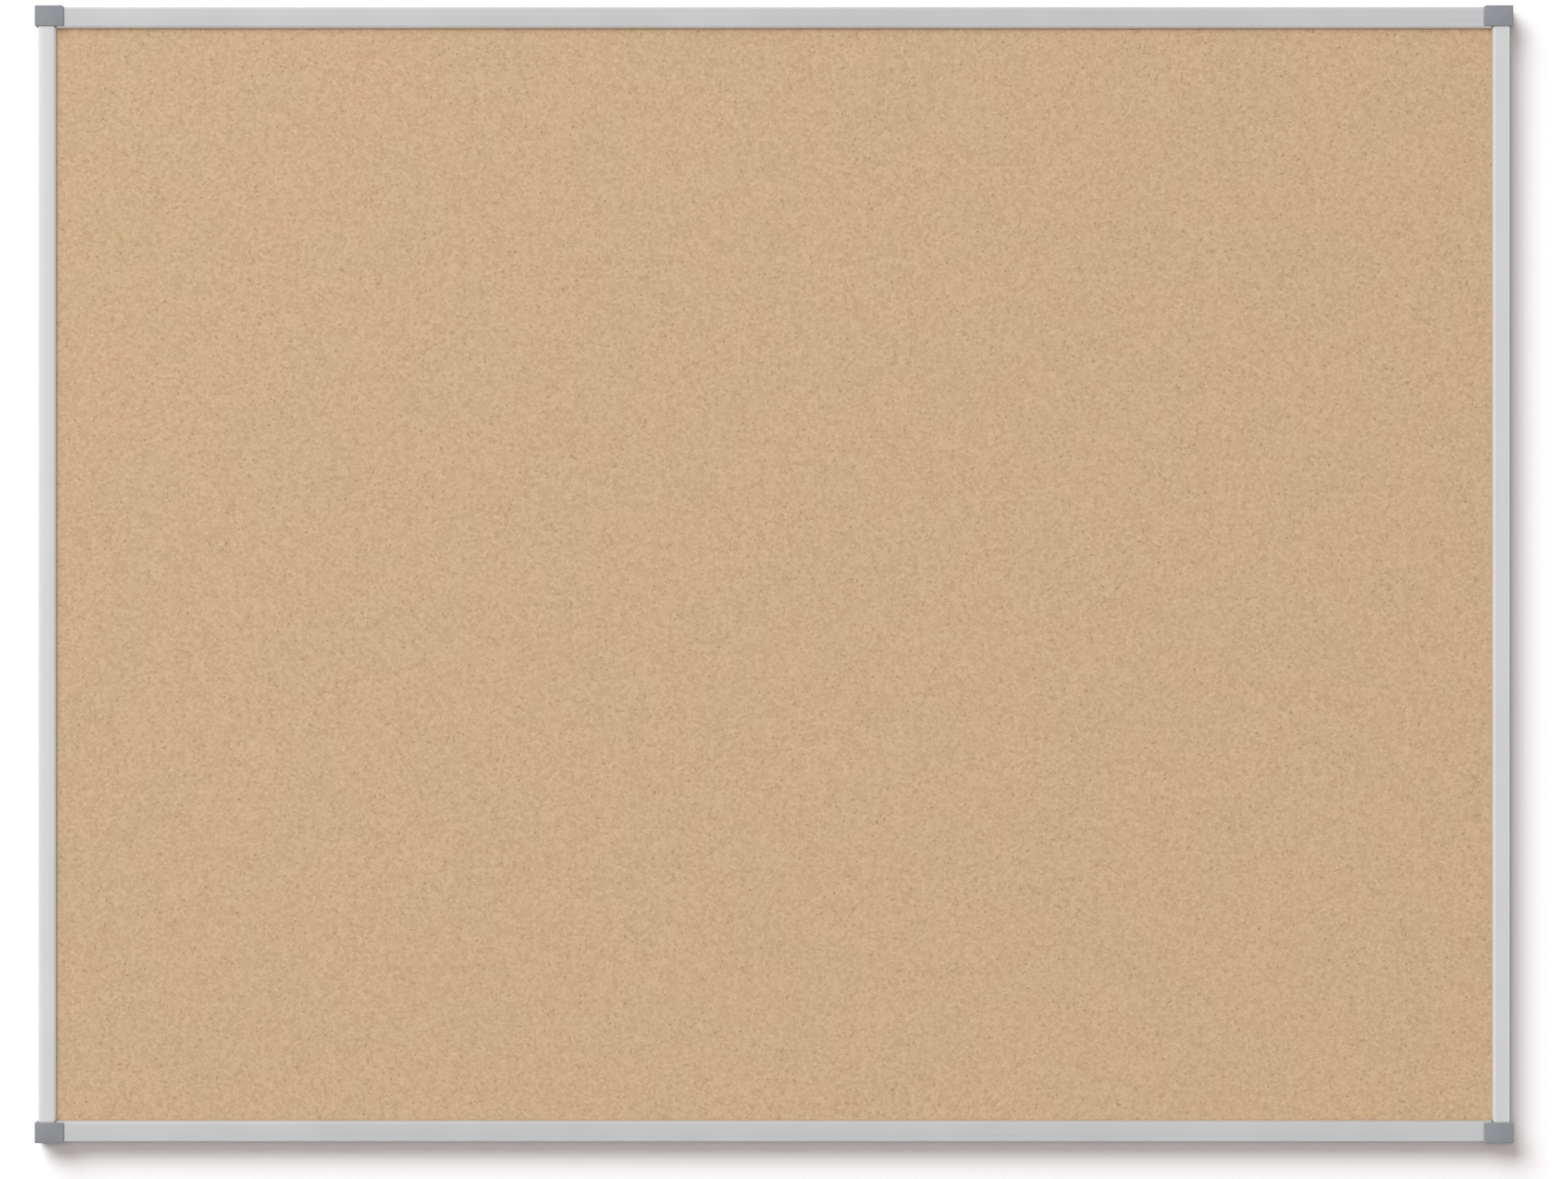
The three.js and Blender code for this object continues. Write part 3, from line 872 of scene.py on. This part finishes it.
@dataclass
class Rails:
    """The four extruded rails round the panel, each with a screw hole near both its ends."""

    effects: Effects
    outer_wall: float = 1.3 * MM
    front_wall: float = 1.4 * MM
    rear_wall: float = 1.6 * MM
    chamber_inner: float = 7.5 * MM
    web_inner: float = 8.7 * MM
    rear_flange: float = 12 * MM
    lip_depth: float = 2.9 * MM
    lip_slope: float = 2.2 * MM
    lip_tip: float = 1.3 * MM
    lip_edge: float = 0.6 * MM
    outer_radius: float = 1.5 * MM
    small_radius: float = 0.5 * MM
    cut_edge: float = 0.12 * MM
    screw_line: float = 4.4 * MM
    screw_from_end: float = 33.7 * MM
    hole_radius: float = 1.6 * MM
    sink_depth: float = 1.4 * MM

    def _bar(self, face: float, depth: float, length: float) -> Shape:
        """The solid bar that a rail's outside makes, upright and centred.

        Args:
            face: the rail's width at the front.
            depth: from its front to the wall.
            length: from cut end to cut end.

        Returns:
            The bar, its long corners rounded.
        """
        front = -depth
        lip_under = front + self.front_wall
        section = [
            (0, 0, self.small_radius),
            (0, front, self.outer_radius),
            (face - self.lip_slope, front, self.small_radius),
            (face, front + self.lip_depth - self.lip_edge, self.small_radius),
            (face, front + self.lip_depth, 0),
            (face - self.lip_tip, front + self.lip_depth, 0),
            (face - self.lip_slope - self.lip_edge, lip_under, 0),
            (self.web_inner, lip_under, 0),
            (self.web_inner, -self.rear_wall, 0),
            (self.rear_flange, -self.rear_wall, 0),
            (self.rear_flange, 0, self.small_radius),
        ]
        shape = bmesh.new()
        base = [shape.verts.new((x, y, -length / 2)) for x, y, _ in section]
        end = shape.faces.new(base)
        grown = bmesh.ops.extrude_face_region(shape, geom=[end], use_keep_orig=True)["geom"]
        raised = [item for item in grown if isinstance(item, bmesh.types.BMVert)]
        bmesh.ops.translate(shape, vec=(0, 0, length), verts=raised)
        bmesh.ops.recalc_face_normals(shape, faces=shape.faces[:])
        for x, y, radius in section:
            if radius:
                corner = Vector((x, y))
                segments = 6 if radius == self.outer_radius else 4
                round_edges(
                    shape,
                    radius,
                    segments,
                    lambda a, b: a.z * b.z < 0 and (a.xy - corner).length < 0.01 * MM,
                )
        round_edges(shape, self.cut_edge, 1, lambda a, b: near(abs(a.z), length / 2) and near(a.z, b.z))
        return shape

    def _rail(self, name: str, face: float, depth: float, length: float) -> Workpiece:
        """A whole rail, upright and centred: the bar with its chamber and its countersunk holes.

        Args:
            name: the piece's name.
            face: the rail's width at the front.
            depth: from its front to the wall.
            length: from cut end to cut end.

        Returns:
            The rail.
        """
        rail = Workpiece(name, self._bar(face, depth, length))
        past_end = length / 2 + THROUGH
        low = (self.outer_wall, self.front_wall - depth, -past_end)
        high = (self.chamber_inner, -self.rear_wall, past_end)
        rail.cut(block(low, high))
        for end in (-1, 1):
            hole = [
                (self.hole_radius, -self.rear_wall - THROUGH),
                (self.hole_radius, -self.sink_depth),
                (self.hole_radius + self.sink_depth + THROUGH, THROUGH),
            ]
            rail.cut(turned(self.screw_line, end * (length / 2 - self.screw_from_end), hole))
        rail.settle()
        return rail

    def build(self) -> None:
        """Builds the rails and turns each to its own side."""
        materials = {run: SatinAluminium(self.effects, run=run).material() for run in Run}
        for side, sign in (("left", 1), ("right", -1), ("top", -1), ("bottom", 1)):
            low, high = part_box(f"rail_{side}")
            size = high - low
            upright = side in ("left", "right")
            face, length = (size.x, size.z) if upright else (size.z, size.x)
            pattern = self._rail(f"{side}_pattern", face, size.y, length)
            if upright:
                place = Matrix.Diagonal((sign, 1, 1, 1))
                place.translation.x = low.x if side == "left" else high.x
            else:
                place = Matrix.Diagonal((1, 1, sign, 1)) @ SWAP_X_AND_Z
                place.translation.z = low.z if side == "bottom" else high.z
            rail = pattern.copy(f"{side}_rail", place)
            pattern.scrap()
            run = Run.UPRIGHT if upright else Run.LEVEL
            rail.hand_over(f"rail_{side}", "board", "aluminium", materials[run])


@dataclass
class CornerKeys:
    """The plastic blocks that join the rails and take the wall screws."""

    effects: Effects
    block_x: float = 14.5 * MM
    block_z: float = 11.7 * MM
    depth: float = 18 * MM
    block_radius: float = 0.8 * MM
    leg_outer: float = 1.6 * MM
    leg_inner: float = 7.2 * MM
    leg_front: float = 1.7 * MM
    leg_back: float = 16.1 * MM
    leg_length: float = 40 * MM
    leg_root: float = 1 * MM
    lead_in: float = 1.5 * MM
    pocket_length: float = 12 * MM
    pocket_rib: float = 2.5 * MM
    pocket_depth: float = 6 * MM
    pocket_wall: float = 1.2 * MM
    pocket_radius: float = 0.6 * MM
    pockets: int = 2
    screw_line: float = 4.4 * MM
    screw_from_block: float = 34 * MM
    screw_hole: float = 1.6 * MM
    screw_reach: float = 10.5 * MM
    fixing_hole: float = 2.25 * MM
    fixing_head: float = 4.1 * MM
    fixing_seat: float = 7 * MM
    peg_inset: float = 2.0 * MM
    socket_radius: float = 1.1 * MM
    socket_depth: float = 7 * MM
    edge: float = 0.15 * MM

    def peg_places(self) -> list[tuple[float, float]]:
        """Where the cap's pegs go in: two opposite corners of the block."""
        return [
            (self.peg_inset, self.peg_inset),
            (self.block_x - self.peg_inset, self.block_z - self.peg_inset),
        ]

    def _leg(self, start: float) -> tuple[Shape, list[Shape]]:
        """A leg along z from the block, with what is cut from it.

        Args:
            start: where the block ends.

        Returns:
            The leg, and the pockets and the screw hole.
        """
        end = start + self.leg_length
        front = self.leg_front - self.depth
        low = (self.leg_outer, front, start - self.leg_root)
        high = (self.leg_inner, self.leg_back - self.depth, end)
        leg = block(low, high)
        round_edges(leg, self.lead_in, 1, lambda a, b: near(a.z, end) and near(b.z, end) and near(a.x, b.x))
        cuts = []
        for i in range(self.pockets):
            near_end = start + self.pocket_rib + i * (self.pocket_length + self.pocket_rib)
            low = (self.leg_outer + self.pocket_wall, front - THROUGH, near_end)
            far_end = near_end + self.pocket_length
            high = (self.leg_inner - self.pocket_wall, front + self.pocket_depth, far_end)
            pocket = block(low, high)
            round_edges(pocket, self.pocket_radius, 3, along_depth)
            cuts.append(pocket)
        hole = [(self.screw_hole, -self.screw_reach), (self.screw_hole, 0)]
        cuts.append(turned(self.screw_line, start + self.screw_from_block, hole))
        return leg, cuts

    def _pattern(self) -> Workpiece:
        """The key in a corner's own terms."""
        body = block((0, -self.depth, 0), (self.block_x, 0, self.block_z))
        round_edges(body, self.block_radius, 4, along_depth)
        key = Workpiece("key_pattern", body)
        cuts = []
        for start, turn in ((self.block_z, Matrix()), (self.block_x, SWAP_X_AND_Z)):
            leg, leg_cuts = self._leg(start)
            for shape in (leg, *leg_cuts):
                bmesh.ops.transform(shape, matrix=turn, verts=shape.verts[:])
                bmesh.ops.recalc_face_normals(shape, faces=shape.faces[:])
            key.join(leg)
            cuts.extend(leg_cuts)
        seat = -self.fixing_seat
        fixing = [
            (self.fixing_head, -self.depth - THROUGH),
            (self.fixing_head, seat),
            (self.fixing_hole, seat + self.fixing_head - self.fixing_hole),
            (self.fixing_hole, THROUGH),
        ]
        cuts.append(turned(self.block_x / 2, self.block_z / 2, fixing))
        for x, z in self.peg_places():
            socket = [
                (self.socket_radius, -self.depth - THROUGH),
                (self.socket_radius, self.socket_depth - self.depth),
            ]
            cuts.append(turned(x, z, socket, steps=24))
        for shape in cuts:
            key.cut(shape)
        key.settle()
        key.soften(self.edge, segments=2)
        key.settle()
        return key

    def build(self) -> None:
        """Builds a key and puts one in each corner."""
        material = MouldedPlastic(
            self.effects,
            name="key_plastic",
            body=(0.08, 0.084, 0.09),
            streak=(0.105, 0.108, 0.112),
            worn=(0.17, 0.17, 0.17),
            texture=0.6 * MM,
            gloss=0.5,
        ).material()
        pattern = self._pattern()
        for corner in Corner:
            key = pattern.copy(f"key_{corner.label}", corner.placement)
            key.hand_over(f"corner_key_{corner.label}", "board", "key_plastic", material)
        pattern.scrap()


@dataclass
class CornerCaps:
    """The grey caps that pull off the corners, with two pegs each."""

    effects: Effects
    keys: CornerKeys
    gap: float = 0.3 * MM
    wall: float = 1.1 * MM
    end_wall: float = 2.4 * MM
    inner_x: float = 21 * MM
    inner_z: float = 15.6 * MM
    depth: float = 18 * MM
    wall_standoff: float = 0.4 * MM
    nose_radius: float = 2.2 * MM
    corner_radius: float = 0.8 * MM
    edge_radius: float = 0.6 * MM
    inner_edge: float = 0.12 * MM
    peg_radius: float = 0.9 * MM
    peg_length: float = 6 * MM
    peg_tip: float = 0.4 * MM

    def _pattern(self) -> Workpiece:
        """The cap in a corner's own terms."""
        outer_x = -self.gap - self.end_wall
        outer_z = -self.gap - self.wall
        front = -self.depth - self.gap - self.wall
        shell = block((outer_x, front, outer_z), (self.inner_x, -self.wall_standoff, self.inner_z))

        def nose(a: Vector, b: Vector) -> bool:
            """Whether an edge is the outer corner of the cap's end on the cross rail."""
            return along_depth(a, b) and near(a.x, self.inner_x) and near(a.z, outer_z)

        def corner(a: Vector, b: Vector) -> bool:
            """Whether an edge is one of the other three corners."""
            return along_depth(a, b) and (near(a.x, outer_x) or near(a.z, self.inner_z))

        round_edges(shell, self.nose_radius, 8, nose)
        round_edges(shell, self.corner_radius, 5, corner)
        round_edges(shell, self.edge_radius, 4, lambda a, b: near(a.y, front) and near(b.y, front))
        cap = Workpiece("cap_pattern", shell)
        past = self.inner_x + THROUGH
        cap.cut(block((-self.gap, -self.depth - self.gap, -self.gap), (past, THROUGH, past)))
        cap.settle()
        cap.soften(self.inner_edge, segments=2, angle=60)
        cap.settle()
        for x, z in self.keys.peg_places():
            peg = [
                (self.peg_radius, front + self.wall / 2),
                (self.peg_radius, self.peg_length - self.peg_tip - self.depth),
                (self.peg_radius - self.peg_tip, self.peg_length - self.depth),
            ]
            cap.join(turned(x, z, peg, steps=32))
        cap.settle()
        return cap

    def build(self) -> None:
        """Builds a cap and puts one on each corner, to ride on its own body."""
        material = MouldedPlastic(self.effects).material()
        pattern = self._pattern()
        for corner in Corner:
            cap = pattern.copy(f"cap_{corner.label}", corner.placement)
            cap.hand_over(f"corner_cap_{corner.label}", f"cap_{corner.label}", "cap_plastic", material)
        pattern.scrap()


@dataclass
class RailScrews:
    """The countersunk tapping screws that hold the rails to the keys."""

    effects: Effects
    length: float = 9.5 * MM
    core_radius: float = 0.95 * MM
    crest_radius: float = 1.3 * MM
    head_radius: float = 2.7 * MM
    head_land: float = 0.15 * MM
    point: float = 2.2 * MM
    tip_radius: float = 0.1 * MM
    neck_length: float = 0.4 * MM
    pitch: float = 1.1 * MM
    thread_base: float = 0.6 * MM
    thread_root: float = 0.1 * MM
    thread_turns: int = 5
    steps_per_turn: int = 20
    recess_length: float = 3 * MM
    recess_width: float = 0.8 * MM
    recess_depth: float = 0.9 * MM
    recess_taper: float = 0.6

    def _thread(self) -> Shape:
        """The screw's thread: one ridge wound round the core."""
        shape = bmesh.new()
        start = self.point - self.length
        foot = self.core_radius - self.thread_root
        places = [
            (foot, start),
            (self.crest_radius, start + self.thread_base / 2),
            (foot, start + self.thread_base),
        ]
        ridge = shape.faces.new([shape.verts.new((x, y, 0)) for x, y in places])
        bmesh.ops.spin(
            shape,
            geom=[*ridge.verts, *ridge.edges, ridge],
            cent=(0, 0, 0),
            axis=(0, 1, 0),
            dvec=(0, self.pitch / self.steps_per_turn, 0),
            angle=self.thread_turns * math.tau,
            steps=self.thread_turns * self.steps_per_turn,
            use_merge=False,
        )
        make_sound(shape)
        return shape

    def _pattern(self) -> Workpiece:
        """The screw about the line x = 0, z = 0, its head at the wall."""
        neck = self.crest_radius - self.head_radius
        screw = Workpiece("screw_pattern", turned(0, 0, [
            (self.tip_radius, -self.length),
            (self.core_radius, self.point - self.length),
            (self.core_radius, neck - self.neck_length),
            (self.crest_radius, neck),
            (self.head_radius, -self.head_land),
            (self.head_radius, 0),
        ], steps=40))
        screw.join(self._thread())
        for half_x, half_z in (
            (self.recess_length / 2, self.recess_width / 2),
            (self.recess_width / 2, self.recess_length / 2),
        ):
            slot = block((-half_x, -self.recess_depth, -half_z), (half_x, THROUGH, half_z))
            floor = [vert for vert in slot.verts if vert.co.y < 0]
            bmesh.ops.scale(slot, vec=(self.recess_taper, 1, self.recess_taper), verts=floor)
            screw.cut(slot)
        screw.settle()
        return screw

    def build(self) -> None:
        """Builds a screw and puts one in each rail end."""
        material = ZincSteel(self.effects).material()
        pattern = self._pattern()
        for corner in Corner:
            for rail in ("side", corner.end):
                node = f"screw_{corner.label}_{rail}_rail"
                low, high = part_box(node)
                middle = (low + high) / 2
                place = Matrix.Translation((middle.x, 0, middle.z))
                screw = pattern.copy(f"tapping_{node}", place)
                screw.hand_over(node, "board", "zinc_steel", material)
        pattern.scrap()


# ---- The studio ----


@dataclass(frozen=True)
class SoftSun:
    """A soft light from one direction: from the board towards it, how bright, and how wide in degrees."""

    name: str
    towards: tuple[float, float, float]
    strength: float
    softness: float
    colour: Colour = (1, 1, 1)


SHADE: Colour = (1.0, 0.9, 0.885)  # the warmth of what lights the shadows
SUNS = (
    SoftSun("key", (-0.84, -1.0, 1.18), 3.76, 42, (0.96, 1.01, 1.02)),
    SoftSun("front_fill", (-0.1, -1.0, 0.1), 0.98, 30, SHADE),
    SoftSun("rear_fill", (-0.4, 1.0, 0.5), 1.6, 80),
)


@dataclass
class Studio:
    """A pale wall and floor, soft light from the upper left and the camera."""

    wall_width: float = 7.0
    wall_height: float = 4.0
    wall_colour: Colour = (0.85, 0.85, 0.85)
    floor_colour: Colour = (0.78, 0.77, 0.76)
    floor_drop: float = 1.1
    lens: float = 100
    camera_distance: float = 3.55
    aim_x: float = 0.0082
    aim_z: float = -0.0125
    wall_gap: float = 1 * MM
    fill: float = 0.22
    fill_lean: float = 0.06
    gloss_floor: float = 0.15
    gloss_fill: float = 0.68
    gloss_right: float = 0.45
    gloss_upper_left: float = 0.58
    backdrop: float = 0.97
    panel_place: tuple[float, float, float] = (-1.3, -1.6, 1.1)
    panel_size: float = 0.9
    panel_power: float = 6

    @staticmethod
    def _camera_face(name: str, colour: Colour) -> bpy.types.Material:
        """A matte finish that only the camera sees, and only from the front, so that it hides nothing."""
        material = bpy.data.materials.new(name)
        material.use_nodes = True
        graph = Graph(material.node_tree)
        graph.tree.nodes.remove(graph.tree.nodes["Principled BSDF"])
        seen = graph.add("ShaderNodeLightPath").outputs["Is Camera Ray"]
        behind = graph.add("ShaderNodeNewGeometry").outputs["Backfacing"]
        shown = graph.sum("MULTIPLY", seen, graph.sum("SUBTRACT", 1.0, behind))
        clear = graph.add("ShaderNodeBsdfTransparent").outputs[0]
        matte = graph.add("ShaderNodeBsdfDiffuse", {"Color": rgba(colour)}).outputs[0]
        surface = graph.add("ShaderNodeMixShader", {0: shown, 1: clear, 2: matte}).outputs[0]
        graph.tree.links.new(surface, graph.tree.nodes["Material Output"].inputs["Surface"])
        return material

    def _sheet(self, name: str, place: Matrix, colour: Colour) -> None:
        """A flat sheet of the studio, a square metre that a matrix stretches and puts in place."""
        shape = bmesh.new()
        bmesh.ops.create_grid(shape, x_segments=1, y_segments=1, size=0.5, matrix=place)
        mesh = bpy.data.meshes.new(name)
        shape.to_mesh(mesh)
        shape.free()
        mesh.materials.append(self._camera_face(name, colour))
        sheet = bpy.data.objects.new(name, mesh)
        bpy.context.scene.collection.objects.link(sheet)

    @staticmethod
    def _light(name: str, kind: str, place: Matrix) -> bpy.types.Light:
        """A new light, left out of reflections, which the world gives.

        Args:
            name: the light's name.
            kind: Blender's word for its kind.
            place: where it stands and which way it turns.

        Returns:
            The light's own data.
        """
        light = bpy.data.lights.new(name, kind)
        item = bpy.data.objects.new(name, light)
        item.matrix_world = place
        item.visible_glossy = False
        bpy.context.scene.collection.objects.link(item)
        return light

    def _lights(self) -> None:
        """Puts up the suns, and a square panel at the upper left that faces the board's middle."""
        for sun in SUNS:
            turn = Vector(sun.towards).to_track_quat("Z", "Y").to_matrix().to_4x4()
            light = self._light(sun.name, "SUN", turn)
            light.color = sun.colour
            light.energy = sun.strength
            light.angle = math.radians(sun.softness)
        place = Vector(self.panel_place)
        turn = place.to_track_quat("Z", "Y").to_matrix().to_4x4()
        light = self._light("upper_left", "AREA", Matrix.Translation(place) @ turn)
        light.energy = self.panel_power
        light.size = self.panel_size

    def _world(self) -> None:
        """Even light from all round: white to the camera, softer to the board."""
        world = bpy.data.worlds.new("studio")
        world.use_nodes = True
        bpy.context.scene.world = world
        graph = Graph(world.node_tree)
        background = graph.tree.nodes["Background"]
        path = graph.add("ShaderNodeLightPath").outputs
        towards = graph.add("ShaderNodeTexCoord").outputs["Generated"]
        axes = graph.add("ShaderNodeSeparateXYZ", {0: towards}).outputs
        right = graph.spread(axes["X"], 0.1, 0.8, 0.0, self.gloss_right)
        high = graph.spread(axes["Z"], -0.4, 0.4, -0.16, 0.16)
        high_left = graph.sum("SUBTRACT", high, axes["X"])
        fill = graph.spread(high_left, -0.7, 0.7, self.fill - self.fill_lean, self.fill + self.fill_lean)
        above = graph.spread(high_left, 0.16, 0.5, 0.0, self.gloss_upper_left)
        aside = graph.spread(graph.sum("ABSOLUTE", axes["X"]), 0.5, 0.95, 1.0, self.gloss_floor)
        even = self.gloss_fill - self.fill
        mirrored = graph.sum("MULTIPLY_ADD", graph.sum("ADD", right, above), aside, even)
        first = graph.sum("LESS_THAN", path["Diffuse Depth"], 0.5)
        direct = graph.sum("MULTIPLY", path["Is Glossy Ray"], first)
        strength = graph.sum("MULTIPLY_ADD", direct, mirrored, fill)
        seen = path["Is Camera Ray"]
        strength = graph.add("ShaderNodeMix", {0: seen, 2: strength, 3: self.backdrop}).outputs[0]
        colour = graph.blend(path["Is Diffuse Ray"], rgba((1, 1, 1)), rgba(SHADE))
        graph.fill(background, {"Color": colour, "Strength": strength})

    def _camera(self) -> None:
        """The camera, level and square to the board."""
        camera = bpy.data.cameras.new("camera")
        camera.lens = self.lens
        camera.clip_end = 100
        item = bpy.data.objects.new("camera", camera)
        front = CAD_BOX[0].y
        item.location = (self.aim_x, front - self.camera_distance, self.aim_z)
        item.rotation_euler = (math.pi / 2, 0, 0)
        bpy.context.scene.collection.objects.link(item)
        bpy.context.scene.camera = item

    def build(self) -> None:
        """Builds the studio."""
        facing = Matrix.Translation((0, self.wall_gap, self.wall_height / 2 - self.floor_drop))
        facing = facing @ Matrix.Rotation(math.pi / 2, 4, "X")
        facing = facing @ Matrix.Diagonal((self.wall_width, self.wall_height, 1, 1))
        self._sheet("wall", facing, self.wall_colour)
        lying = Matrix.Translation((0, self.wall_gap - self.wall_width / 2, -self.floor_drop))
        lying = lying @ Matrix.Diagonal((self.wall_width, self.wall_width, 1, 1))
        self._sheet("floor", lying, self.floor_colour)
        self._world()
        self._lights()
        self._camera()
        bpy.context.scene.view_settings.view_transform = "Standard"


def main() -> None:
    """Builds the board, piece by piece, and its studio."""
    logging.basicConfig(level=logging.INFO, format="%(message)s")
    effects = Effects()
    keys = CornerKeys(effects)
    for assembly in (Panel(effects), Rails(effects), keys, CornerCaps(effects, keys), RailScrews(effects)):
        LOG.info("building: %s", type(assembly).__name__)
        assembly.build()
    Studio().build()


if __name__ == "__main__":
    main()
